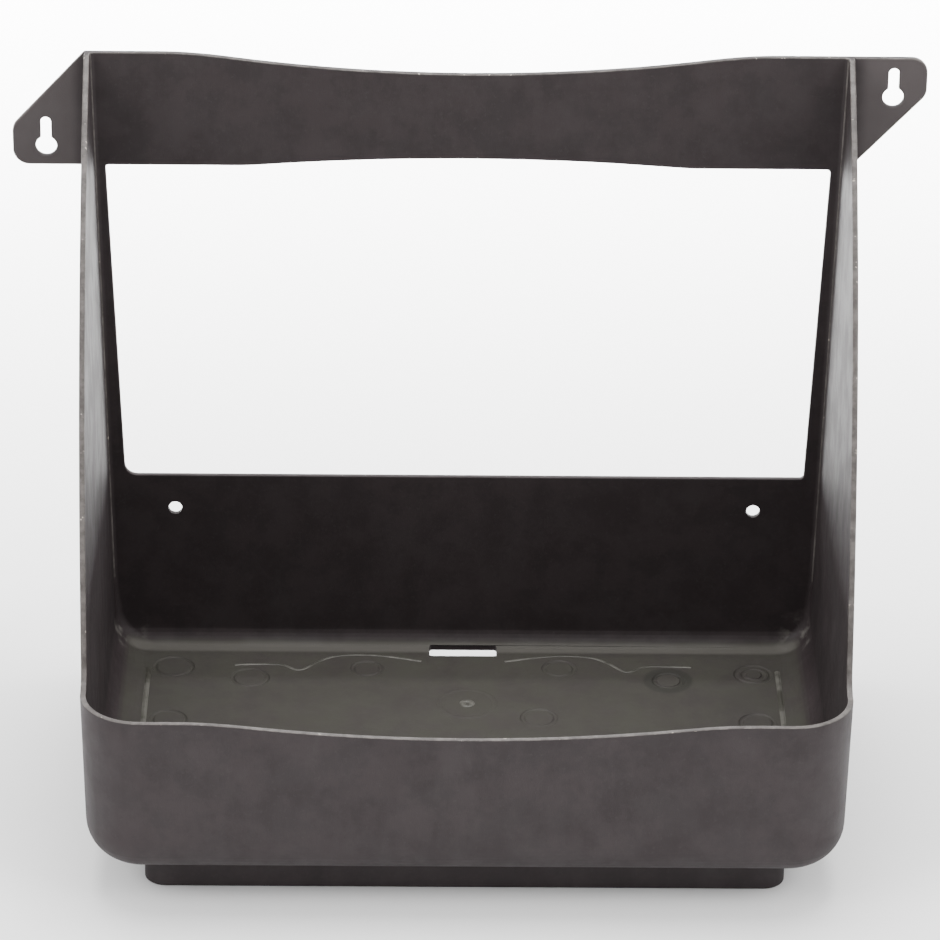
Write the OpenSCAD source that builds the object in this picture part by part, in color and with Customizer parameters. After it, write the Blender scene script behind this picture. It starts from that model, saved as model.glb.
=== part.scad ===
// Wall-mounted feed tray, moulded in one piece.
// Millimetres, +Z up. The origin is the middle of the wall face at the level the foot stands on:
// x = 0 is the middle, y = 0 is the wall face, the tray reaches towards -Y, z = 0 is the stand plane.

/* [Part] */

/* [Overall] */
// Outer width of the body at the top of the side walls
body_w = 360; // [340:1:380]
// Height of the top of the frame above the stand plane
total_h = 332.6; // [325:0.2:345]
// Depth of the tray at its rim, from the wall face
tray_depth = 226; // [215:1:240]
// Thickness of every wall
wall = 2.7; // [2.4:0.1:3.2]
// Draft of the tray walls
draft = 1.15; // [0.5:0.05:1.6]

/* [Tray] */
// Height of the rim at the front corners
lip_h = 100; // [94:1:106]
// How far the rim dips in the middle of the front wall
lip_dip = 7.5; // [4:0.5:12]
// Radius of the arc of the dip
lip_arc_r = 880; // [700:10:1100]
// Plan radius of the two front corners at the rim
corner_r = 28; // [24:1:34]
// Outer radius of the bottom edge at the front and the sides
bottom_r = 20; // [16:1:22]
// Outer radius of the bottom edge at the back
back_r = 11; // [8:0.5:14]

/* [Foot] */
// Height of the foot ring under the tray
foot_h = 17; // [12:1:22]
// Width of the foot ring
foot_w = 296; // [270:1:304]
// Front face of the foot ring, from the wall face
foot_front = 201; // [185:1:205]
// Back face of the foot ring, from the wall face
foot_back = 25; // [22:1:40]
// Corner radius of the foot ring
foot_r = 10; // [6:1:16]

/* [Drain] */
// Width of the drain slot
slot_w = 33; // [20:1:50]
// Near edge of the slot, from the wall face
slot_front = 16.7; // [15:0.1:20]
// Far edge of the slot, from the wall face
slot_back = 7.5; // [5:0.1:9]
// Corner radius of the slot
slot_r = 2; // [1:0.5:3]

/* [Side walls] */
// Depth of the side walls at the top of the frame
gusset_top = 6.3; // [4:0.1:12]
// Depth of the side walls where they run into the rim
gusset_foot = 190; // [180:1:194]
// Radius of their long convex front edge
gusset_r = 550; // [450:10:800]
// Radius of the hollow between that edge and the rim
gusset_blend_r = 12; // [6:1:13]

/* [Frame] */
// Lower edge of the window
window_z = 111.4; // [106:0.2:120]
// Lower edge of the top band at its ends
band_z = 275.5; // [265:0.5:280]
// Half width of the window at the top
window_top_x = 171.2; // [168:0.1:172]
// Half width of the window at the bottom
window_low_x = 165; // [160:0.5:168]
// Radius of the lower window corners
window_low_r = 6; // [2:0.5:8]
// Radius of the upper window corners
window_top_r = 2; // [1:0.5:4]
// How far the top of the band dips in the middle
band_dip = 9.8; // [5:0.2:14]
// Radius of that arc
band_dip_r = 850; // [700:10:1100]
// How far the underside of the band rises in the middle
band_rise = 4.3; // [2:0.1:8]
// Radius of that arc
band_rise_r = 1257; // [900:1:1500]

/* [Ears] */
// Distance of the ear tips from the middle
ear_x = 214.5; // [208:0.5:225]
// Lean of the slanted ear edges from the horizontal
ear_slant = 47.3; // [42:0.1:52]
// Radius of the ear corners
ear_r = 7.7; // [5:0.1:10]
// Distance of the keyholes from the middle
key_x = 198.8; // [196:0.1:202]
// Height of the round end of the left keyhole
key_left_z = 285; // [283:0.5:290]
// Height of the round end of the right keyhole
key_right_z = 312.8; // [308:0.2:316]
// Diameter of the round end
key_d = 10; // [8:0.5:12]
// Width of the keyhole slot
key_slot = 5; // [4:0.5:6]
// From the middle of the round end to the top of the slot
key_rise = 14.7; // [12:0.1:16]

/* [Screw holes] */
// Distance of the lower screw holes from the middle
hole_x = 141; // [120:0.5:150]
// Height of the lower screw holes
hole_z = 93.5; // [60:0.5:100]
// Diameter of the lower screw holes
hole_d = 6.6; // [4:0.2:8]

/* [Colour] */
// Colour of the moulding
shade = "#3d3a3b";

/* [Hidden] */
lean = tan(draft);
skin = wall / cos(draft);
big = 400;
slop = 1;
corner_x = body_w / 2 - (total_h - lip_h) * lean - corner_r;
corner_y = tray_depth - corner_r;
floor_top = foot_h + wall;
fillet_z = foot_h + bottom_r;
fillet_x = corner_r - (lip_h - fillet_z) * lean - bottom_r / cos(draft);
gusset_mid = [(gusset_top + gusset_foot) / 2, (total_h + lip_h) / 2];
gusset_chord = [gusset_foot - gusset_top, lip_h - total_h];
gusset_span = norm(gusset_chord);
gusset_sink = sqrt(gusset_r * gusset_r - gusset_span * gusset_span / 4);
gusset_c = gusset_mid - [-gusset_chord.y, gusset_chord.x] / gusset_span * gusset_sink;
blend_z = lip_h + gusset_blend_r;
blend_reach = gusset_r + gusset_blend_r;
blend_u = gusset_c.x + sqrt(blend_reach * blend_reach - pow(blend_z - gusset_c.y, 2));
blend_c = [blend_u, blend_z];
blend_touch = gusset_c + (blend_c - gusset_c) * gusset_r / blend_reach;
ear_tip_x = ear_x - ear_r;
ear_edge = ear_r / cos(ear_slant);

function outer_x(z) = body_w / 2 - (total_h - z) * lean;
function inner_x(z) = outer_x(z) - skin;
function wall_r(z) = corner_r - (lip_h - z) * lean;

// Everything inside the tray surface that lies `inset` in from the outside, from the corner centre outwards
module wall_region(inset, top) {
  r = bottom_r - inset;
  translate([fillet_x, fillet_z])
    intersection() {
      circle(r = r, $fn = 120);
      translate([0, -r])
        square(r);
    }
  polygon([
    [0, foot_h + inset],
    [fillet_x, foot_h + inset],
    [fillet_x, fillet_z],
    [fillet_x + r * cos(draft), fillet_z - r * sin(draft)],
    [wall_r(top) - inset / cos(draft), top],
    [0, top]
  ]);
}

// Section of a tray wall with its rounded bottom edge and its strip of floor
module wall_section(top) {
  difference() {
    wall_region(0, top);
    wall_region(wall, top + slop);
  }
}

// Inside outline of the tray and the frame, looking at the wall
module inner_outline() {
  for (side = [0, 1])
    mirror([side, 0])
      translate([corner_x, 0])
        wall_region(wall, total_h);
  translate([-corner_x - 0.01, floor_top])
    square([2 * corner_x + 0.02, total_h - floor_top]);
}

// Turns a drawing of the wall plane (x, z) into a plate of the given thickness behind y = 0
module wall_plate(thickness = wall) {
  rotate([90, 0, 0])
    linear_extrude(thickness)
      children();
}

// Turns a drawing of (depth, height) into a slab across the full width
module across(half) {
  translate([-half, 0, 0])
    rotate([90, 0, 90])
      mirror([1, 0])
        linear_extrude(2 * half)
          children();
}

// Window with its four corner radii
module window_outline() {
  difference() {
    polygon([
      [-window_low_x, window_z],
      [window_low_x, window_z],
      [window_top_x, band_z],
      [-window_top_x, band_z]
    ]);
    for (side = [0, 1])
      mirror([side, 0]) {
        window_corner([window_low_x, window_z], window_low_r, 1);
        window_corner([window_top_x, band_z], window_top_r, -1);
      }
  }
}

// Material left in one window corner
module window_corner(at, r, up) {
  difference() {
    translate([at.x - r, up > 0 ? at.y : at.y - r])
      square([r + slop, r]);
    translate([at.x - r, at.y + up * r])
      circle(r = r, $fn = 48);
  }
}

// Back-bottom edge of the moulding, taken off to its outer radius
module back_edge_cut() {
  across(big / 2)
    difference() {
      translate([-slop, foot_h - slop])
        square([back_r + slop, back_r + slop]);
      translate([back_r, foot_h + back_r])
        circle(r = back_r, $fn = 96);
    }
}

// Drain slot in the floor and the back radius
module drain_cut() {
  reach = slot_front - slot_back;
  translate([0, -slot_front, foot_h - 2])
    linear_extrude(foot_h)
      rounded_box(slot_w, reach, slot_r);
}

// Rectangle with round corners that starts at y = 0
module rounded_box(w, h, r) {
  translate([-w / 2, r])
    square([w, h - 2 * r]);
  translate([-w / 2 + r, 0])
    square([w - 2 * r, h]);
  for (x = [-w / 2 + r, w / 2 - r], y = [r, h - r])
    translate([x, y])
      circle(r = r, $fn = 48);
}

// Flat bottom of the tray with the front part of the drain slot
module tray_floor() {
  color(shade)
    difference() {
      translate([-corner_x, -corner_y, foot_h])
        cube([2 * corner_x, corner_y - back_r, wall]);
      drain_cut();
    }
}

// Low ring under the tray that it stands on
module foot_ring() {
  color(shade)
    translate([0, -foot_front, 0])
      linear_extrude(foot_h)
        difference() {
          rounded_box(foot_w, foot_front - foot_back, foot_r);
          translate([0, wall])
            rounded_box(foot_w - 2 * wall, foot_front - foot_back - 2 * wall, foot_r - wall);
        }
}

// Front wall between the two corners, with the dip in its rim
module front_wall() {
  color(shade)
    difference() {
      across(corner_x)
        translate([corner_y, 0])
          wall_section(lip_h);
      translate([0, -corner_y + big, lip_h - lip_dip + lip_arc_r])
        rotate([90, 0, 0])
          cylinder(r = lip_arc_r, h = 2 * big, $fn = 720);
    }
}

// Quarter-turn front corner
module front_corner() {
  color(shade)
    translate([corner_x, -corner_y, 0])
      rotate([0, 0, -90])
        rotate_extrude(angle = 90, $fn = 96)
          wall_section(lip_h);
}

module right_front_corner() {
  front_corner();
}

module left_front_corner() {
  mirror([1, 0, 0])
    front_corner();
}

// Outline of a side wall in (depth, height)
module side_outline() {
  square([corner_y, lip_h]);
  intersection() {
    translate(gusset_c)
      circle(r = gusset_r, $fn = 720);
    translate([0, lip_h - slop])
      square([corner_y, total_h - lip_h + slop]);
  }
  difference() {
    polygon([
      [gusset_foot - 10, lip_h - slop],
      [blend_c.x, lip_h - slop],
      [blend_c.x, lip_h],
      blend_c,
      blend_touch,
      [gusset_foot - 10, blend_touch.y]
    ]);
    translate(blend_c)
      circle(r = gusset_blend_r, $fn = 96);
  }
}

// Side wall with its rounded bottom edge, tapering to the top of the frame
module side_wall() {
  color(shade)
    difference() {
      intersection() {
        translate([corner_x, 0, 0])
          rotate([90, 0, 0])
            linear_extrude(corner_y)
              wall_section(total_h);
        across(big / 2)
          side_outline();
      }
      back_edge_cut();
    }
}

module right_side_wall() {
  side_wall();
}

module left_side_wall() {
  mirror([1, 0, 0])
    side_wall();
}

// Section of the back panel in (depth, height): the plate and the radius down to the floor
module back_section(low) {
  difference() {
    translate([0, low])
      square([back_r, window_z - low]);
    translate([back_r, foot_h + back_r])
      circle(r = back_r - wall, $fn = 96);
    translate([wall, foot_h + back_r])
      square([back_r, big]);
  }
}

// Lower back panel with the two screw holes and the back part of the drain slot
module back_panel() {
  color(shade)
    difference() {
      union() {
        across(corner_x)
          back_section(foot_h);
        intersection() {
          across(big / 2)
            back_section(floor_top);
          wall_plate(back_r)
            inner_outline();
        }
      }
      back_edge_cut();
      drain_cut();
      for (x = [-hole_x, hole_x])
        translate([x, slop, hole_z])
          rotate([90, 0, 0])
            cylinder(d = hole_d, h = wall + 2 * slop, $fn = 48);
    }
}

// Upright strip of the frame beside the window
module stile() {
  color(shade)
    wall_plate()
      difference() {
        polygon([
          [window_low_x - window_low_r, window_z],
          [inner_x(window_z), window_z],
          [inner_x(band_z), band_z],
          [window_top_x - window_top_r, band_z]
        ]);
        window_outline();
      }
}

module right_stile() {
  stile();
}

module left_stile() {
  mirror([1, 0, 0])
    stile();
}

// Band across the top, narrowest in the middle
module top_band() {
  color(shade)
    wall_plate()
      difference() {
        polygon([
          [-inner_x(band_z), band_z],
          [inner_x(band_z), band_z],
          [inner_x(total_h), total_h],
          [-inner_x(total_h), total_h]
        ]);
        translate([0, total_h - band_dip + band_dip_r])
          circle(r = band_dip_r, $fn = 720);
        translate([0, band_z + band_rise - band_rise_r])
          circle(r = band_rise_r, $fn = 1080);
      }
}

// Keyhole: a round end below and a slot above it
module keyhole(z) {
  translate([key_x, slop, z])
    rotate([90, 0, 0])
      cylinder(d = key_d, h = wall + 2 * slop, $fn = 64);
  translate([key_x, slop, z + key_rise - key_slot / 2])
    rotate([90, 0, 0])
      cylinder(d = key_slot, h = wall + 2 * slop, $fn = 48);
  translate([key_x - key_slot / 2, -wall - slop, z])
    cube([key_slot, wall + 2 * slop, key_rise - key_slot / 2]);
}

// What is taken off a sharp ear corner to round it: `turn` is the direction of its second edge's normal
module ear_corner(z, turn) {
  touch = ear_r * [cos(turn), sin(turn)];
  tip = ear_r * [1, tan(turn / 2)];
  translate([ear_tip_x, z])
    difference() {
      polygon([[0, 0], [ear_r, 0], 1.5 * tip, touch]);
      circle(r = ear_r, $fn = 64);
    }
}

// Outline of the right ear: flat edge on top, slanted edge below
module high_ear_outline() {
  lower_z = band_z + (ear_tip_x - outer_x(band_z)) * tan(ear_slant) + ear_edge;
  difference() {
    polygon([
      [outer_x(band_z), band_z],
      [ear_x, band_z + (ear_x - outer_x(band_z)) * tan(ear_slant)],
      [ear_x, total_h],
      [outer_x(total_h), total_h]
    ]);
    ear_corner(lower_z, ear_slant - 90);
    ear_corner(total_h - ear_r, 90);
  }
}

// Outline of the left ear, drawn on the right: flat edge below, slanted edge on top
module low_ear_outline() {
  upper_z = total_h - (ear_tip_x - outer_x(total_h)) * tan(ear_slant) - ear_edge;
  difference() {
    polygon([
      [outer_x(total_h), total_h],
      [ear_x, total_h - (ear_x - outer_x(total_h)) * tan(ear_slant)],
      [ear_x, band_z],
      [outer_x(band_z), band_z]
    ]);
    ear_corner(upper_z, 90 - ear_slant);
    ear_corner(band_z + ear_r, -90);
  }
}

// Right ear with its keyhole
module right_ear() {
  color(shade)
    difference() {
      wall_plate()
        high_ear_outline();
      keyhole(key_right_z);
    }
}

// Left ear with its keyhole, the other way up so that units nest side by side
module left_ear() {
  color(shade)
    mirror([1, 0, 0])
      difference() {
        wall_plate()
          low_ear_outline();
        keyhole(key_left_z);
      }
}

tray_floor();
foot_ring();
front_wall();
left_front_corner();
right_front_corner();
left_side_wall();
right_side_wall();
back_panel();
left_stile();
right_stile();
top_band();
left_ear();
right_ear();
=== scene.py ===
"""Visual of a wall-mounted feed tray, a single dark plastic moulding.

Metres, in the frame of the CAD: x = 0 is the middle, y = 0 the wall face, z = 0 the stand plane.
"""
import math

import bmesh
import bpy
from mathutils import Matrix, Vector


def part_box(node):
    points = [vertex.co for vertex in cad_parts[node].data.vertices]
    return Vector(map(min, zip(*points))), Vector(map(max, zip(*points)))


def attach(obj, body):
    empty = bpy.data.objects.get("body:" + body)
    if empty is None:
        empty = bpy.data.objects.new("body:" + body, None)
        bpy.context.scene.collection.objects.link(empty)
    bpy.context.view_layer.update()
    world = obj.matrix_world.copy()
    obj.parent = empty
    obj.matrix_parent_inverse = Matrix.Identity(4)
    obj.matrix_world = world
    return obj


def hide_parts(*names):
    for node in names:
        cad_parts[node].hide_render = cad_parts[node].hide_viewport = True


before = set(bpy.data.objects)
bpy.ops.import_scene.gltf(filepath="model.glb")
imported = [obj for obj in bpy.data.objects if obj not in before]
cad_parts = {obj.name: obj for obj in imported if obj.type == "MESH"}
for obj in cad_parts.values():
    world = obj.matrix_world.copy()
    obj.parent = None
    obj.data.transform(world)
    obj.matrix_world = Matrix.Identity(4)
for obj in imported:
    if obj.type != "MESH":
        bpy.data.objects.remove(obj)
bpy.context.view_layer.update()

# Sizes that the CAD's boxes give
FLOOR_LOW, FLOOR_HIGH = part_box("tray_floor")
FRONT_LOW, FRONT_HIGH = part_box("front_wall")
SIDE_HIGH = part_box("right_side_wall")[1]
BACK_LOW, BACK_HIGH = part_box("back_panel")
FOOT_LOW, FOOT_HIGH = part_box("foot_ring")
BAND_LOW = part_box("top_band")[0]
EAR_LOW, EAR_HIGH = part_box("right_ear")
WALL = FLOOR_HIGH.z - FLOOR_LOW.z
FOOT_TOP = FLOOR_LOW.z
FLOOR_TOP = FLOOR_HIGH.z
CORNER_X = FLOOR_HIGH.x
CORNER_Y = -FLOOR_LOW.y
DEPTH = -FRONT_LOW.y
CORNER_R = DEPTH - CORNER_Y
LIP = FRONT_HIGH.z
TOP = SIDE_HIGH.z
HALF_W = SIDE_HIGH.x
BACK_R = -BACK_LOW.y
WINDOW_Z = BACK_HIGH.z
BAND_Z = BAND_LOW.z
EAR_X = EAR_HIGH.x

# Sizes that are not in a box
DRAFT = math.radians(1.15)
BOTTOM_R = 0.020
FILLET_Z = FOOT_TOP + BOTTOM_R
FILLET_X = CORNER_R - (LIP - FILLET_Z) * math.tan(DRAFT) - BOTTOM_R / math.cos(DRAFT)
LIP_DIP, LIP_ARC_R, LIP_KNEE = 0.0075, 0.880, 0.0022
BAND_DIP, BAND_DIP_R, BAND_DIP_KNEE = 0.0098, 0.850, 0.0025
BAND_RISE, BAND_RISE_R, BAND_RISE_KNEE = 0.0043, 1.257, 0.0006
GUSSET_TOP, GUSSET_FOOT, GUSSET_R, GUSSET_BLEND_R = 0.0063, 0.190, 0.550, 0.012
WINDOW_TOP_X, WINDOW_LOW_X = 0.1712, 0.165
WINDOW_LOW_LEFT_R, WINDOW_SMALL_R, WINDOW_TOP_LEFT_R = 0.006, 0.002, 0.0015
WINDOW_RISE_OVERLAP = 0.004
EAR_SLANT, EAR_R, EAR_ROOT = math.radians(47.3), 0.0077, 0.004
KEY_X, KEY_LEFT_Z, KEY_RIGHT_Z = 0.1988, 0.285, 0.3128
KEY_D, KEY_SLOT, KEY_RISE = 0.010, 0.005, 0.0147
HOLE_X, HOLE_Z, HOLE_D = 0.141, 0.0935, 0.0066
SLOT_W, SLOT_FRONT, SLOT_BACK, SLOT_R = 0.033, 0.0167, 0.0075, 0.0015
FOOT_R = 0.010
INSIDE_TOP_R, INSIDE_EXTRA_R, INSIDE_GROWTH = 0.0022, 0.0058, 0.040
EDGE_R, HOLE_EDGE_R = 0.0006, 0.0003
PIN_MARKS = [((-0.1418, -0.0296), 0.0092), ((-0.1041, -0.0400), 0.0085), ((-0.0471, -0.0304), 0.0070),
             ((0.0470, -0.0292), 0.0075), ((0.0363, -0.0776), 0.0080), ((0.1000, -0.0405), 0.0068),
             ((0.1420, -0.0340), 0.0085), ((0.1420, -0.0340), 0.0050),
             ((0.1415, -0.0811), 0.0080), ((-0.1420, -0.0811), 0.0080)]
GATE = (0.0017, -0.0641)
STAIN, STAIN_R = (0.1000, -0.0405), 0.0092
FLOW_LINE = [(0.0205, -0.0225), (0.042, -0.0170), (0.060, -0.0172), (0.070, -0.0225), (0.080, -0.0320),
             (0.090, -0.0266), (0.107, -0.0268), (0.112, -0.0274)]
# The side beads lie where the side radius meets the floor; their pale finish is partly a painted highlight
# along that line.
BEAD_X, BEAD_BACK, BEAD_FRONT = 0.1540, -0.031, -0.196
GATE_RING_R, GATE_HALO_R = 0.0022, 0.0135

# Sections of the marks: half width, height or depth, and reach to the other side of the surface
PIN_SECTION = (0.0013, 0.00060, 0.0005)
HALO_SECTION = (0.0014, 0.00018, 0.0004)
GATE_SECTION = (0.0016, 0.0005, 0.0004)
FLOW_SECTION = (0.0008, 0.00030, 0.0004)
BEAD_SECTION = (0.0014, 0.00050, 0.0004)

# How far around the middle of each hole its edges count as the hole's
DRAIN_REACH, HOLE_REACH, KEY_REACH, KEY_MIDDLE = 0.020, 0.008, 0.0125, 0.005

# The middle of the pale spots at each back corner: partly scuffs, partly painted glints
CORNER_GLINT_X, CORNER_GLINT_Y, CORNER_GLINT_Z = 0.166, -0.010, FLOOR_TOP + 0.008

# Material slots, in the order in which they are given to the tray
BASE_FINISH, EDGE_FINISH, MARK_FINISH = 0, 1, 2

# Overshoot of the cutters: past a face, through the plate of the frame, and past everything
SLOP = 0.001
PLATE_REACH = 0.02
FAR = 0.3


# ---- outlines -------------------------------------------------------------------------------

def arc(centre, r, start, end, steps):
    """Points on an arc, both ends included. Angles are in radians."""
    return [(centre[0] + r * math.cos(start + (end - start) * i / steps),
             centre[1] + r * math.sin(start + (end - start) * i / steps))
            for i in range(steps + 1)]


def soft_min(a, b, reach):
    """The smaller of two heights, with a soft knee where they cross."""
    share = max(reach - abs(a - b), 0) / reach
    return min(a, b) - share * share * reach / 4


def sag(x, r):
    """How far an arc of radius r has left its tangent at distance x."""
    return r - math.sqrt(r * r - x * x)


def rounded(corners, steps=8):
    """An outline of (a, b, radius) corners with each corner rounded."""
    points = []
    for i, (a, b, r) in enumerate(corners):
        here = Vector((a, b))
        if not r:
            points.append((a, b))
            continue
        back = (Vector(corners[i - 1][:2]) - here).normalized()
        ahead = (Vector(corners[(i + 1) % len(corners)][:2]) - here).normalized()
        half = back.angle(ahead) / 2
        centre = here + (back + ahead).normalized() * r / math.sin(half)
        first = here + back * r / math.tan(half) - centre
        turn = first.angle_signed(here + ahead * r / math.tan(half) - centre)
        start = math.atan2(first.y, first.x)
        points += arc(centre, r, start, start - turn, steps)
    return points


def spread(low, high, steps):
    """Evenly spaced numbers, both ends included."""
    return [low + (high - low) * i / steps for i in range(steps + 1)]


# ---- solids ---------------------------------------------------------------------------------

def solid(name, verts, faces):
    """A mesh object with its faces turned outwards."""
    mesh = bpy.data.meshes.new(name)
    mesh.from_pydata([Vector(v) for v in verts], [], faces)
    bm = bmesh.new()
    bm.from_mesh(mesh)
    bmesh.ops.recalc_face_normals(bm, faces=bm.faces)
    bm.to_mesh(mesh)
    bm.free()
    piece = bpy.data.objects.new(name, mesh)
    bpy.context.scene.collection.objects.link(piece)
    return piece


def loft(name, rings):
    """A closed solid through rings that all have the same number of points."""
    n = len(rings[0])
    verts = [p for ring in rings for p in ring]
    faces = [tuple(range(n)), tuple((len(rings) - 1) * n + i for i in range(n))]
    for row in range(len(rings) - 1):
        for i in range(n):
            j = (i + 1) % n
            faces.append((row * n + i, row * n + j, (row + 1) * n + j, (row + 1) * n + i))
    return solid(name, verts, faces)


def along_y(name, outline, low, high):
    """A prism from an (x, z) outline."""
    return loft(name, [[(a, y, b) for a, b in outline] for y in (low, high)])


def along_x(name, outline, half):
    """A prism from a (y, z) outline, across the middle."""
    return loft(name, [[(x, a, b) for a, b in outline] for x in (-half, half)])


def along_z(name, outline, low, high):
    """A prism from an (x, y) outline."""
    return loft(name, [[(a, b, z) for a, b in outline] for z in (low, high)])


def combine(base, operation, tools):
    """Boolean of base with each tool in turn; the tools are used up."""
    for tool in tools:
        step = base.modifiers.new(tool.name, "BOOLEAN")
        step.operation = operation
        step.solver = "EXACT"
        step.object = tool
    bake(base)
    for tool in tools:
        bpy.data.objects.remove(tool)


def bake(piece):
    """Applies the piece's modifiers to its mesh."""
    graph = bpy.context.evaluated_depsgraph_get()
    mesh = bpy.data.meshes.new_from_object(piece.evaluated_get(graph))
    piece.modifiers.clear()
    piece.data = mesh


# ---- the moulding ---------------------------------------------------------------------------

def body_ring(z, inset, back_corner=0, steps=28):
    """Plan outline of the tray surface that lies inset inside the outer one, at height z."""
    r = BOTTOM_R - inset
    if z < FILLET_Z - r * math.sin(DRAFT):
        out = FILLET_X + math.sqrt(max(r * r - (FILLET_Z - z) ** 2, 0))
    else:
        out = CORNER_R - (LIP - z) * math.tan(DRAFT) - inset / math.cos(DRAFT)
    below = max(FOOT_TOP + BACK_R - z, 0)
    y_back = math.sqrt(max((BACK_R - inset) ** 2 - below ** 2, 0)) - BACK_R
    left = arc((-CORNER_X, -CORNER_Y), out, math.pi, 1.5 * math.pi, steps)
    right = arc((CORNER_X, -CORNER_Y), out, 1.5 * math.pi, 2 * math.pi, steps)
    far_x = CORNER_X + out
    if back_corner:
        near_x, y = far_x - back_corner, y_back - back_corner
        plan = [*arc((-near_x, y), back_corner, 0.5 * math.pi, math.pi, 8), *left, *right,
                *arc((near_x, y), back_corner, 0, 0.5 * math.pi, 8)]
    else:
        plan = [(-far_x, y_back), *left, *right, (far_x, y_back)]
    return [(x, y, z) for x, y in plan]


def inside_corner(z):
    """Plan radius between the back and a side, inside: small at the top, wider at the bottom."""
    rise = min((z - FLOOR_TOP) / INSIDE_GROWTH, 1)
    return INSIDE_TOP_R + INSIDE_EXTRA_R * (1 - rise) ** 2


def body_levels(inset, top):
    """Heights of the rings: close together round the bottom edges, then the straight walls."""
    r, back_r = BOTTOM_R - inset, BACK_R - inset
    quarter = math.pi / 2
    levels = {FOOT_TOP + inset, top}
    levels |= {FILLET_Z - r * math.cos(a) for a in spread(0, quarter - DRAFT, 10)}
    levels |= {FOOT_TOP + BACK_R - back_r * math.cos(a) for a in spread(0, quarter, 8)}
    return [z for i, z in enumerate(sorted(levels)) if not i or z - sorted(levels)[i - 1] > 1e-5]


def outer_body():
    """The outside of the tray and its sides, solid and with the full height everywhere."""
    return loft("moulding", [body_ring(z, 0) for z in body_levels(0, TOP)])


def cavity():
    """The inside, one wall thickness in. Extra rings carry the corner radius as it changes."""
    corner_levels = spread(FLOOR_TOP + 0.020, FLOOR_TOP + 0.041, 4)
    levels = [*body_levels(WALL, TOP + 10 * SLOP), *corner_levels]
    return loft("cavity", [body_ring(z, WALL, inside_corner(z)) for z in sorted(levels)])


def gusset_cutter():
    """What lies above the rim and in front of the long edges of the side walls."""
    chord = Vector((GUSSET_FOOT - GUSSET_TOP, LIP - TOP))
    sink = math.sqrt(GUSSET_R ** 2 - chord.length_squared / 4)
    middle = Vector(((GUSSET_TOP + GUSSET_FOOT) / 2, (TOP + LIP) / 2))
    centre = middle - Vector((-chord.y, chord.x)).normalized() * sink
    blend_z = LIP + GUSSET_BLEND_R
    reach = GUSSET_R + GUSSET_BLEND_R
    blend = Vector((centre.x + math.sqrt(reach ** 2 - (blend_z - centre.y) ** 2), blend_z))
    toward = blend - centre
    low_angle = math.atan2(toward.y, toward.x)
    top_angle = math.atan2(TOP - centre.y, GUSSET_TOP - centre.x)
    edge = arc(centre, GUSSET_R, top_angle, low_angle, 40)
    hollow = arc(blend, GUSSET_BLEND_R, low_angle + math.pi, 1.5 * math.pi, 8)
    above = edge[0][0] - (edge[1][0] - edge[0][0]) / (edge[0][1] - edge[1][1]) * SLOP
    outline = [(above, TOP + SLOP), *edge, *hollow[1:], (FAR, LIP), (FAR, TOP + SLOP)]
    return along_x("gusset_cut", [(-y, z) for y, z in outline], FAR)


def dip_outline(rim, dip, r, knee):
    """What a shallow arc takes off the middle of a straight edge at height rim: (x, z) points."""
    xs = spread(-CORNER_X, CORNER_X, 96)
    low = [(x, soft_min(rim, rim - dip + sag(x, r), knee)) for x in xs]
    low = [p for p in low if p[1] < rim - 1e-6]
    left, right, above = low[0][0] - SLOP, low[-1][0] + SLOP, rim + 10 * SLOP
    return [(left, rim), *low, (right, rim), (right, above), (left, above)]


def lip_cutter():
    """The dip in the rim of the front wall."""
    return along_y("lip_cut", dip_outline(LIP, LIP_DIP, LIP_ARC_R, LIP_KNEE), -FAR, -CORNER_Y)


def band_top_cutter():
    """The dip in the top edge of the band."""
    outline = dip_outline(TOP, BAND_DIP, BAND_DIP_R, BAND_DIP_KNEE)
    return along_y("band_cut", outline, -PLATE_REACH, SLOP)


def window_cutter():
    """The window, with a small radius in each corner and the band's rise in its top edge."""
    half = math.sqrt(2 * BAND_RISE_R * BAND_RISE)
    rise = [(x, BAND_Z - soft_min(0, sag(x, BAND_RISE_R) - BAND_RISE, BAND_RISE_KNEE), 0)
            for x in spread(half + WINDOW_RISE_OVERLAP, -half - WINDOW_RISE_OVERLAP, 60)]
    outline = rounded([
        (-WINDOW_LOW_X, WINDOW_Z, WINDOW_LOW_LEFT_R),
        (WINDOW_LOW_X, WINDOW_Z, WINDOW_SMALL_R),
        (WINDOW_TOP_X, BAND_Z, WINDOW_SMALL_R),
        *rise,
        (-WINDOW_TOP_X, BAND_Z, WINDOW_TOP_LEFT_R),
    ])
    return along_y("window_cut", outline, -PLATE_REACH, SLOP)


def drain_cutter():
    """The slot in the floor, beside the back."""
    low, high = -SLOT_FRONT, -SLOT_BACK
    half = SLOT_W / 2
    outline = rounded([(-half, low, SLOT_R), (half, low, SLOT_R),
                       (half, high, SLOT_R), (-half, high, SLOT_R)])
    return along_z("drain_cut", outline, FOOT_TOP - 0.002, FOOT_TOP + 0.014)


def hole_cutter(name, x):
    """A round screw hole through the back panel."""
    outline = arc((x, HOLE_Z), HOLE_D / 2, 0, 2 * math.pi, 40)[:-1]
    return along_y(name, outline, -PLATE_REACH, SLOP)


def keyhole_cutter(name, x, z):
    """A round end below and a slot above it."""
    r, slot_r = KEY_D / 2, KEY_SLOT / 2
    open_angle = math.asin(slot_r / r)
    round_end = arc((x, z), r, math.pi / 2 + open_angle, 2.5 * math.pi - open_angle, 40)
    slot_end = arc((x, z + KEY_RISE - slot_r), slot_r, 0, math.pi, 16)
    return along_y(name, round_end + slot_end, -PLATE_REACH, SLOP)


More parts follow.
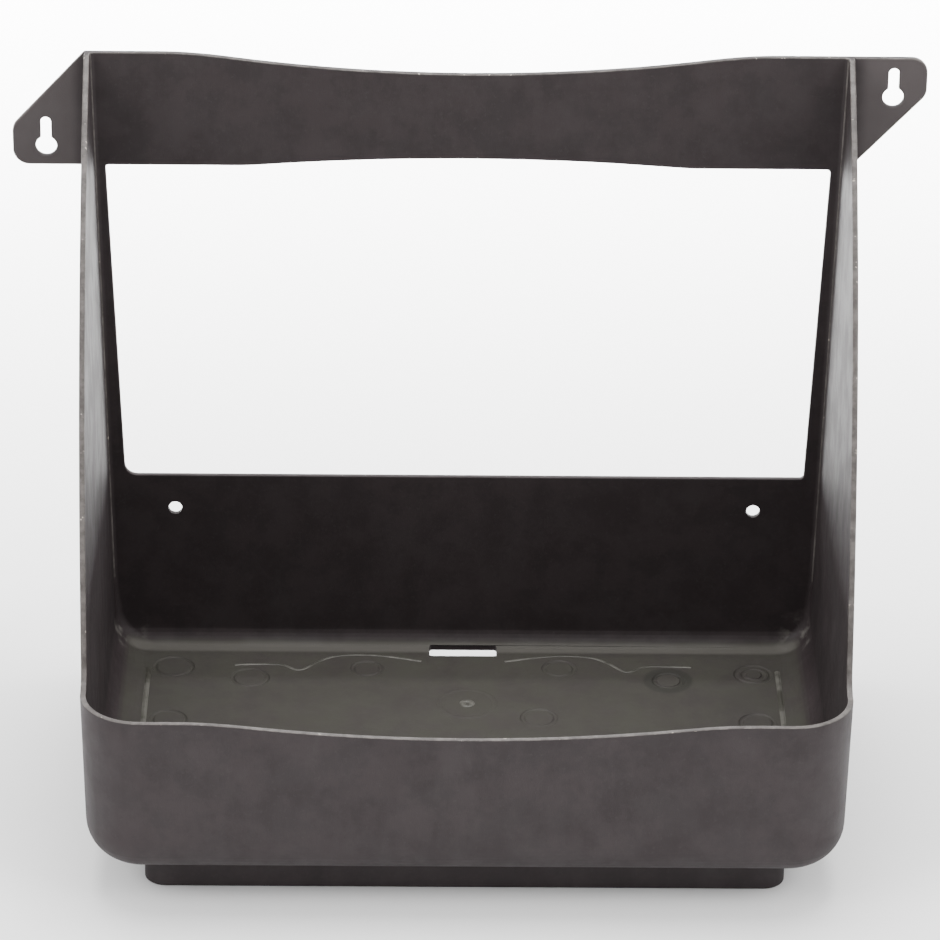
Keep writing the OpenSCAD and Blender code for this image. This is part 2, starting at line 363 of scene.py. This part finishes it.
def ear(name, side, slanted_below):
    """An ear plate, in the plane of the frame. It reaches a little into the side wall."""
    def out(z):
        return HALF_W - (TOP - z) * math.tan(DRAFT)

    low, high = EAR_LOW.z, TOP
    run = math.tan(EAR_SLANT)
    if slanted_below:
        corners = [(out(low) - EAR_ROOT, low, 0), (out(low), low, 0),
                   (EAR_X, low + (EAR_X - out(low)) * run, EAR_R), (EAR_X, high, EAR_R),
                   (out(high) - EAR_ROOT, high, 0)]
    else:
        corners = [(out(low) - EAR_ROOT, low, 0), (EAR_X, low, EAR_R),
                   (EAR_X, high - (EAR_X - out(high)) * run, EAR_R), (out(high), high, 0),
                   (out(high) - EAR_ROOT, high, 0)]
    outline = [(side * x, z) for x, z in rounded(corners, 10)]
    return along_y(name, outline, -WALL, 0)


def foot_ring():
    """The low open ring under the tray. It reaches a little into the floor."""
    def outline(inset):
        low, high = FOOT_LOW.y + inset, FOOT_HIGH.y - inset
        half, r = FOOT_HIGH.x - inset, FOOT_R - inset
        return rounded([(-half, low, r), (half, low, r), (half, high, r), (-half, high, r)])

    ring = along_z("foot", outline(0), FOOT_LOW.z, FOOT_TOP + SLOP)
    hollow = along_z("foot_hollow", outline(WALL), FOOT_LOW.z - SLOP, FOOT_TOP + 2 * SLOP)
    combine(ring, "DIFFERENCE", [hollow])
    return ring


def lens(half, rise, depth, raised):
    """Section of a low rounded bead, or of the groove that a bead leaves: (across, up) points."""
    up = 1 if raised else -1
    crown = [(half * t, up * rise * (1 - t * t)) for t in spread(-0.95, 0.95, 6)]
    return [(-half, -up * depth), *crown, (half, -up * depth)]


def sweep(name, path, section, closed):
    """A bar that follows an (x, y) path over the floor."""
    rings = []
    for i, here in enumerate(path):
        after = path[(i + 1) % len(path)] if closed or i + 1 < len(path) else here
        before = path[i - 1] if closed or i else here
        along = (Vector(after) - Vector(before)).normalized()
        rings.append([(here[0] - along.y * a, here[1] + along.x * a, FLOOR_TOP + b)
                      for a, b in section])
    if not closed:
        return loft(name, rings)
    n = len(section)
    faces = [(row * n + i, row * n + (i + 1) % n,
              (row + 1) % len(rings) * n + (i + 1) % n, (row + 1) % len(rings) * n + i)
             for row in range(len(rings)) for i in range(n)]
    return solid(name, [p for ring in rings for p in ring], faces)


def smooth_path(points, steps=6):
    """A Catmull-Rom curve through given points."""
    ends = [points[0], *points, points[-1]]
    path = []
    for p0, p1, p2, p3 in zip(ends, ends[1:], ends[2:], ends[3:]):
        a, b, c, d = (Vector(p) for p in (p0, p1, p2, p3))
        path += [tuple(0.5 * (2 * b + (c - a) * t + (2 * a - 5 * b + 4 * c - d) * t * t
                              + (3 * b - a - 3 * c + d) * t ** 3))
                 for t in (i / steps for i in range(steps))]
    return path + [points[-1]]


def circle_path(centre, r, steps=40):
    """A closed round path, without its first point again at the end."""
    return arc(centre, r, 0, 2 * math.pi, steps)[:-1]


def pale(tool):
    """Faces that this tool leaves get the pale finish of the marks: partly dusty, partly a painted
    highlight.
    """
    for face in tool.data.polygons:
        face.material_index = MARK_FINISH
    return tool


def ejector_marks():
    """Shallow rings that the ejector pins leave in the floor."""
    groove = lens(*PIN_SECTION, False)
    return [sweep(f"pin_{i}", circle_path(centre, r), groove, True)
            for i, (centre, r) in enumerate(PIN_MARKS)]


def raised_marks():
    """The gate, the two flow lines and the two side beads. The gate's halo keeps the base finish."""
    halo = sweep("gate_halo", circle_path(GATE, GATE_HALO_R, 56), lens(*HALO_SECTION, True), True)
    marks = [sweep("gate_ring", circle_path(GATE, GATE_RING_R, 24), lens(*GATE_SECTION, True), True)]
    for side in (-1, 1):
        flow = [(side * x, y) for x, y in smooth_path(FLOW_LINE)]
        marks.append(sweep(f"flow_{side}", flow, lens(*FLOW_SECTION, True), False))
        bead = [(side * BEAD_X, y) for y in spread(BEAD_BACK, BEAD_FRONT, 12)]
        marks.append(sweep(f"bead_{side}", bead, lens(*BEAD_SECTION, True), False))
    return [halo, *(pale(mark) for mark in marks)]


def moulding():
    """The whole piece before its edges are softened: body, ears and foot, then every opening."""
    body = outer_body()
    combine(body, "DIFFERENCE", [cavity(), gusset_cutter()])
    combine(body, "UNION", [ear("ear_r", 1, True), ear("ear_l", -1, False), foot_ring()])
    combine(body, "DIFFERENCE", [
        lip_cutter(), band_top_cutter(), window_cutter(), drain_cutter(),
        hole_cutter("hole_l", -HOLE_X), hole_cutter("hole_r", HOLE_X),
        keyhole_cutter("key_l", -KEY_X, KEY_LEFT_Z), keyhole_cutter("key_r", KEY_X, KEY_RIGHT_Z),
    ])
    return body


def grid_floor(piece, step=0.012, shift=0.37):
    """Cuts the flat of the tray into small faces, so that each mark is cut from simple ones.

    The grid is shifted by part of a step, so no line of it lies in the middle.
    """
    bm = bmesh.new()
    bm.from_mesh(piece.data)
    for axis, reach in ((0, CORNER_X), (1, CORNER_Y)):
        for i in range(-int(reach / step), int(reach / step) + 1):
            at, normal = Vector((0, 0, 0)), Vector((0, 0, 0))
            at[axis], normal[axis] = (i + shift) * step, 1
            flat = [f for f in bm.faces if f.normal.z > 0.999
                    and abs(f.calc_center_median().z - FLOOR_TOP) < 1e-5]
            edges = {e for f in flat for e in f.edges}
            verts = {v for f in flat for v in f.verts}
            bmesh.ops.bisect_plane(bm, geom=[*flat, *edges, *verts], dist=1e-7,
                                   plane_co=at, plane_no=normal)
    bm.to_mesh(piece.data)
    bm.free()


def mark_floor(piece):
    """Cuts the ejector rings into the floor and adds the raised marks to it."""
    grid_floor(piece)
    combine(piece, "DIFFERENCE", ejector_marks())
    combine(piece, "UNION", raised_marks())


def even_normals(piece):
    """Smooth shading that keeps the flat faces flat."""
    piece.data.shade_smooth()
    weighted = piece.modifiers.new("normals", "WEIGHTED_NORMAL")
    weighted.mode = "FACE_AREA"
    weighted.keep_sharp = False
    bake(piece)


def clean(piece):
    """Welds the seams that the booleans leave and joins flat faces."""
    bm = bmesh.new()
    bm.from_mesh(piece.data)
    bmesh.ops.remove_doubles(bm, verts=bm.verts, dist=2e-5)
    bmesh.ops.dissolve_limit(bm, angle_limit=math.radians(0.5), verts=bm.verts, edges=bm.edges)
    bm.to_mesh(piece.data)
    bm.free()


def at_a_hole(point):
    """True beside the drain slot, a keyhole or a screw hole, whose edges are crisper."""
    holes = [((0, -(SLOT_FRONT + SLOT_BACK) / 2, FLOOR_TOP), DRAIN_REACH),
             ((-HOLE_X, 0, HOLE_Z), HOLE_REACH), ((HOLE_X, 0, HOLE_Z), HOLE_REACH),
             ((-KEY_X, 0, KEY_LEFT_Z + KEY_MIDDLE), KEY_REACH),
             ((KEY_X, 0, KEY_RIGHT_Z + KEY_MIDDLE), KEY_REACH)]
    return any((point - Vector(place)).length < reach for place, reach in holes)


def soften(piece, radius, convex, material):
    """Rounds the real edges, either all that stand out or all that lie in a corner."""
    bm = bmesh.new()
    bm.from_mesh(piece.data)
    layers, layer = bm.edges.layers.float, "bevel_weight_edge"
    weight = layers.get(layer) or layers.new(layer)
    for edge in bm.edges:
        sharp = len(edge.link_faces) == 2 and edge.calc_face_angle() > math.radians(28)
        middle = (edge.verts[0].co + edge.verts[1].co) / 2
        share = HOLE_EDGE_R / EDGE_R if at_a_hole(middle) else 1.0
        edge[weight] = share if sharp and edge.is_convex == convex else 0.0
    bm.to_mesh(piece.data)
    bm.free()
    bevel = piece.modifiers.new("edges", "BEVEL")
    bevel.limit_method = "WEIGHT"
    bevel.width = radius
    bevel.segments = 3
    bevel.use_clamp_overlap = False
    bevel.miter_outer = "MITER_SHARP"
    bevel.material = material
    bake(piece)


def paint_wear_and_highlight(piece):
    """Gives the pale edge finish, partly rubbed and partly a painted highlight, to the rim, the long edges
    of the sides, the top and the ears only.
    """
    frame_front, tray_middle, ear_start = -WALL - 0.0008, 0.06, HALF_W + 0.0005
    facing_up, facing_ahead = 0.6, -0.15
    for face in piece.data.polygons:
        at, normal = face.center, face.normal
        rounded_edge = face.material_index == EDGE_FINISH
        in_front = at.y < frame_front and at.z > tray_middle
        on_top_or_ear = at.z > TOP - BAND_DIP - EDGE_R or abs(at.x) > ear_start
        if in_front and at.z < LIP + SLOP:
            worn_and_highlit = normal.z > facing_up
        elif in_front:
            worn_and_highlit = rounded_edge or normal.y < facing_ahead
        else:
            worn_and_highlit = rounded_edge and on_top_or_ear and not at_a_hole(at)
        face.material_index = EDGE_FINISH if worn_and_highlit else BASE_FINISH


# ---- materials ------------------------------------------------------------------------------

class Recipe:
    """A material's node tree, with short calls for what the finishes share."""

    def __init__(self, name):
        self.mat = bpy.data.materials.new(name)
        self.mat.use_nodes = True
        self.nodes = self.mat.node_tree.nodes
        self.links = self.mat.node_tree.links
        self.shader = self.nodes["Principled BSDF"]
        self.shader.inputs["Specular IOR Level"].default_value = 0.28
        self.place = self.nodes.new("ShaderNodeTexCoord").outputs["Object"]

    def noise(self, scale, detail=4, rough=0.6, stretch=(1, 1, 1)):
        """Noise from 0 to 1, `scale` lumps per metre, drawn out along an axis where stretch is below 1."""
        mapping = self.nodes.new("ShaderNodeMapping")
        mapping.inputs["Scale"].default_value = stretch
        self.links.new(self.place, mapping.inputs["Vector"])
        node = self.nodes.new("ShaderNodeTexNoise")
        node.inputs["Scale"].default_value = scale
        node.inputs["Detail"].default_value = detail
        node.inputs["Roughness"].default_value = rough
        self.links.new(mapping.outputs["Vector"], node.inputs["Vector"])
        return node.outputs["Fac"]

    def remap(self, value, low, high, to_low=0.0, to_high=1.0):
        """Goes smoothly from to_low where value is low to to_high where it is high."""
        node = self.nodes.new("ShaderNodeMapRange")
        node.interpolation_type = "SMOOTHSTEP"
        limits = {"From Min": low, "From Max": high, "To Min": to_low, "To Max": to_high}
        for name, number in limits.items():
            node.inputs[name].default_value = number
        self.links.new(value, node.inputs["Value"])
        return node.outputs["Result"]

    def math(self, operation, a, b):
        """One operation on two values, each a number or a socket."""
        node = self.nodes.new("ShaderNodeMath")
        node.operation = operation
        for socket, value in zip(node.inputs, (a, b)):
            if isinstance(value, (int, float)):
                socket.default_value = value
            else:
                self.links.new(value, socket)
        return node.outputs["Value"]

    def mix(self, share, a, b):
        """Colour a where share is 0 and colour b where it is 1."""
        node = self.nodes.new("ShaderNodeMix")
        node.data_type = "RGBA"
        self.links.new(share, node.inputs["Factor"])
        for socket, colour in ((node.inputs["A"], a), (node.inputs["B"], b)):
            if isinstance(colour, tuple):
                socket.default_value = (*colour, 1)
            else:
                self.links.new(colour, socket)
        return node.outputs["Result"]

    def split(self, vector):
        """The x, y and z of a vector."""
        node = self.nodes.new("ShaderNodeSeparateXYZ")
        self.links.new(vector, node.inputs["Vector"])
        return node.outputs["X"], node.outputs["Y"], node.outputs["Z"]

    def distance(self, point):
        """Distance in metres from a point of the tray."""
        node = self.nodes.new("ShaderNodeVectorMath")
        node.operation = "DISTANCE"
        node.inputs[1].default_value = point
        self.links.new(self.place, node.inputs[0])
        return node.outputs["Value"]

    def grain(self, height, strength, depth):
        """Bumps in the surface's shading."""
        node = self.nodes.new("ShaderNodeBump")
        node.inputs["Strength"].default_value = strength
        node.inputs["Distance"].default_value = depth
        self.links.new(height, node.inputs["Height"])
        self.links.new(node.outputs["Normal"], self.shader.inputs["Normal"])


def in_tray(recipe):
    """1 on surfaces that face up at the bottom of the tray, 0 elsewhere."""
    facing = recipe.nodes.new("ShaderNodeNewGeometry").outputs["Normal"]
    up = recipe.remap(recipe.split(facing)[2], 0.55, 0.90)
    low = recipe.remap(recipe.split(recipe.place)[2], FLOOR_TOP + 0.007, FLOOR_TOP + 0.002)
    return recipe.math("MULTIPLY", up, low)


def dust_and_highlight_band(recipe):
    """1 along the foot of the back radius, 0 elsewhere: a pale band, partly dusty and partly a painted
    highlight of the radius.
    """
    y = recipe.split(recipe.place)[1]
    front_fade = recipe.remap(y, -0.0150, -0.0115)
    back_fade = recipe.remap(y, -0.0048, -0.0082)
    band = recipe.math("MULTIPLY", front_fade, back_fade)
    return recipe.math("MULTIPLY", in_tray(recipe), band)


def corner_glints_and_scuffs(recipe):
    """Pale spots around the two back corners of the tray: partly scuffs, partly painted glints. They reach
    through to the outside too.
    """
    corners = [(side * CORNER_GLINT_X, CORNER_GLINT_Y, CORNER_GLINT_Z) for side in (-1, 1)]
    spots = [recipe.remap(recipe.distance(corner), 0.015, 0.005) for corner in corners]
    near = recipe.math("MAXIMUM", *spots)
    return recipe.math("MULTIPLY", near, recipe.remap(recipe.noise(120, 3, 0.55), 0.50, 0.66))


def ear_fronts_painted_lighter(recipe):
    """1 on the front faces of the ears, 0 elsewhere. These are painted lighter: painted light for the
    extra light the ears catch.
    """
    facing = recipe.nodes.new("ShaderNodeNewGeometry").outputs["Normal"]
    forward = recipe.remap(recipe.split(facing)[1], -0.3, -0.9)
    across = recipe.math("ABSOLUTE", recipe.split(recipe.place)[0], 0)
    outward = recipe.remap(across, HALF_W, HALF_W + 0.008)
    return recipe.math("MULTIPLY", forward, outward)


def plastic():
    """Charcoal polypropylene: cloudy colour, satin gloss, fine grain, a dusty film and a stain, with
    painted light too: a pale band at the foot of the back radius, partly dusty and partly a painted
    highlight; pale spots at the back corners, partly scuffs and partly painted glints; and ear fronts
    painted lighter.
    """
    r = Recipe("charcoal_plastic")
    clouds = r.remap(r.noise(48, 6, 0.74), 0.40, 0.60)
    colour = r.mix(clouds, (0.0188, 0.0138, 0.0146), (0.0240, 0.0179, 0.0188))
    specks = r.remap(r.noise(520, 3, 0.7), 0.56, 0.74, 0, 0.55)
    colour = r.mix(specks, colour, (0.029, 0.0245, 0.0245))
    smears = r.remap(r.noise(30, 6, 0.72, (1, 1, 0.6)), 0.52, 0.80, 0, 0.6)
    colour = r.mix(smears, colour, (0.030, 0.0255, 0.0255))
    # Painted light: the ear fronts are lighter, as if better lit than the band.
    colour = r.mix(ear_fronts_painted_lighter(r), colour, (0.050, 0.042, 0.042))
    film = r.math("MULTIPLY", in_tray(r), r.remap(r.noise(55, 6, 0.7), 0.34, 0.66, 0.5, 1.0))
    colour = r.mix(film, colour, (0.0285, 0.0270, 0.0214))
    # Pale band at the foot of the back radius: partly dusty, partly a painted highlight.
    colour = r.mix(dust_and_highlight_band(r), colour, (0.062, 0.058, 0.051))
    # Pale spots at the back corners: partly scuffs, partly painted glints.
    colour = r.mix(corner_glints_and_scuffs(r), colour, (0.085, 0.078, 0.072))
    past_ring = r.math("SUBTRACT", r.distance((*STAIN, FLOOR_TOP)), STAIN_R)
    ring = r.remap(r.math("ABSOLUTE", past_ring, 0), 0.0040, 0.0018, 0, 0.75)
    colour = r.mix(ring, colour, (0.0145, 0.0138, 0.0109))
    r.links.new(colour, r.shader.inputs["Base Color"])
    streaks = r.noise(160, 3, 0.6, (1, 1, 0.14))
    patches = r.math("ADD", r.math("MULTIPLY", streaks, 0.4), r.noise(45, 5))
    rough = r.remap(patches, 0.55, 0.85, 0.58, 0.69)
    rough = r.math("ADD", rough, r.math("MULTIPLY", film, 0.12))
    r.links.new(rough, r.shader.inputs["Roughness"])
    lumps = r.math("ADD", r.math("MULTIPLY", r.noise(80, 3), 1.8), r.math("MULTIPLY", streaks, 0.7))
    r.grain(r.math("ADD", r.noise(1500, 2), lumps), 0.34, 0.00013)
    return r.mat


def worn_and_highlit_edge():
    """The same plastic with paler edges: partly rubbed by hands and handling, partly a painted highlight
    along the rim and edges.
    """
    r = Recipe("worn_and_highlit_edge")
    wear_and_sheen = r.remap(r.noise(140, 5, 0.7), 0.35, 0.70)
    # Pale edge colours: partly rubbed plastic, partly a painted highlight.
    colour = r.mix(wear_and_sheen, (0.045, 0.039, 0.037), (0.102, 0.092, 0.086))
    nicks = r.remap(r.noise(330, 2, 0.5), 0.69, 0.72)
    r.links.new(r.mix(nicks, colour, (0.28, 0.25, 0.22)), r.shader.inputs["Base Color"])
    r.links.new(r.remap(r.noise(300, 3), 0.3, 0.7, 0.40, 0.55), r.shader.inputs["Roughness"])
    r.grain(r.noise(1200, 3), 0.3, 0.0001)
    return r.mat


def dusty_highlit_mark():
    """The raised marks in the tray's floor, except the halo: paler, partly dusty and partly a painted
    highlight along them.
    """
    r = Recipe("dusty_highlit_mark")
    dust_and_highlight = r.remap(r.noise(60, 4, 0.65), 0.42, 0.62)
    colour = r.mix(dust_and_highlight, (0.030, 0.0285, 0.0230), (0.076, 0.073, 0.064))
    r.links.new(colour, r.shader.inputs["Base Color"])
    r.shader.inputs["Roughness"].default_value = 0.5
    return r.mat


# ---- stage ----------------------------------------------------------------------------------

def camera():
    """The photograph's view, from a camera fit to it."""
    yaw, pitch, roll = math.radians(0.713), math.radians(27), math.radians(0.710)
    aim, distance = Vector((0.001516, -0.0827, 0.156031)), 2.364289
    level = math.cos(pitch)
    ahead = Vector((math.sin(yaw) * level, math.cos(yaw) * level, -math.sin(pitch)))
    right = Vector((math.cos(yaw), -math.sin(yaw), 0))
    up = right.cross(ahead)
    across = right * math.cos(roll) + up * math.sin(roll)
    over = up * math.cos(roll) - right * math.sin(roll)
    data = bpy.data.cameras.new("camera")
    data.lens, data.sensor_width = 193.25, 36
    data.clip_end = 20
    cam = bpy.data.objects.new("camera", data)
    cam.matrix_world = Matrix.Translation(aim - ahead * distance) @ Matrix(
        (across, over, -ahead)).transposed().to_4x4()
    bpy.context.scene.collection.objects.link(cam)
    bpy.context.scene.camera = cam


def area_light(name, place, target, size, power, spread_angle=180):
    """A rectangular lamp that shines from place towards target."""
    data = bpy.data.lights.new(name, "AREA")
    data.shape = "RECTANGLE"
    data.size, data.size_y = size
    data.energy = power
    data.spread = math.radians(spread_angle)
    light = bpy.data.objects.new(name, data)
    light.location = place
    light.rotation_euler = (Vector(target) - Vector(place)).to_track_quat("-Z", "Y").to_euler()
    bpy.context.scene.collection.objects.link(light)


def studio():
    """A pale floor under soft light: two lamps behind, one overhead and one at each side."""
    world = bpy.data.worlds.new("studio")
    bpy.context.scene.world = world
    world.use_nodes = True
    world.node_tree.nodes["Background"].inputs["Color"].default_value = (1, 1, 1, 1)
    world.node_tree.nodes["Background"].inputs["Strength"].default_value = 1.2
    mat = bpy.data.materials.new("pale_floor")
    mat.use_nodes = True
    mat.node_tree.nodes["Principled BSDF"].inputs["Base Color"].default_value = (0.9, 0.9, 0.9, 1)
    mat.node_tree.nodes["Principled BSDF"].inputs["Roughness"].default_value = 0.9
    half, drop = 4, 0.0004
    corners = [(-half, -half, -drop), (half, -half, -drop), (half, half, -drop), (-half, half, -drop)]
    floor = solid("floor", corners, [(0, 1, 2, 3)])
    floor.data.materials.append(mat)
    area_light("backdrop_light", (0, 1.1, 2.0), (0, 1.35, 0), (3.0, 0.8), 220, 70)
    area_light("backdrop_panel", (0, 2.1, 1.2), (0, 0, 0.1), (3.0, 1.5), 50)
    area_light("overhead", (0, -0.02, 1.25), (0, -0.02, 0), (0.9, 0.45), 22)
    for side in (-1, 1):
        area_light(f"key_{side}", (1.5 * side, -1.0, 1.4), (0, -0.1, 0.15), (1.0, 1.0), 24)


tray = moulding()
clean(tray)
tray.data.materials.clear()
for material in (plastic(), worn_and_highlit_edge(), dusty_highlit_mark()):
    tray.data.materials.append(material)
soften(tray, EDGE_R, True, EDGE_FINISH)
paint_wear_and_highlight(tray)
soften(tray, EDGE_R, False, BASE_FINISH)
mark_floor(tray)
even_normals(tray)
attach(tray, "root")
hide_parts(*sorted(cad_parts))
camera()
studio()
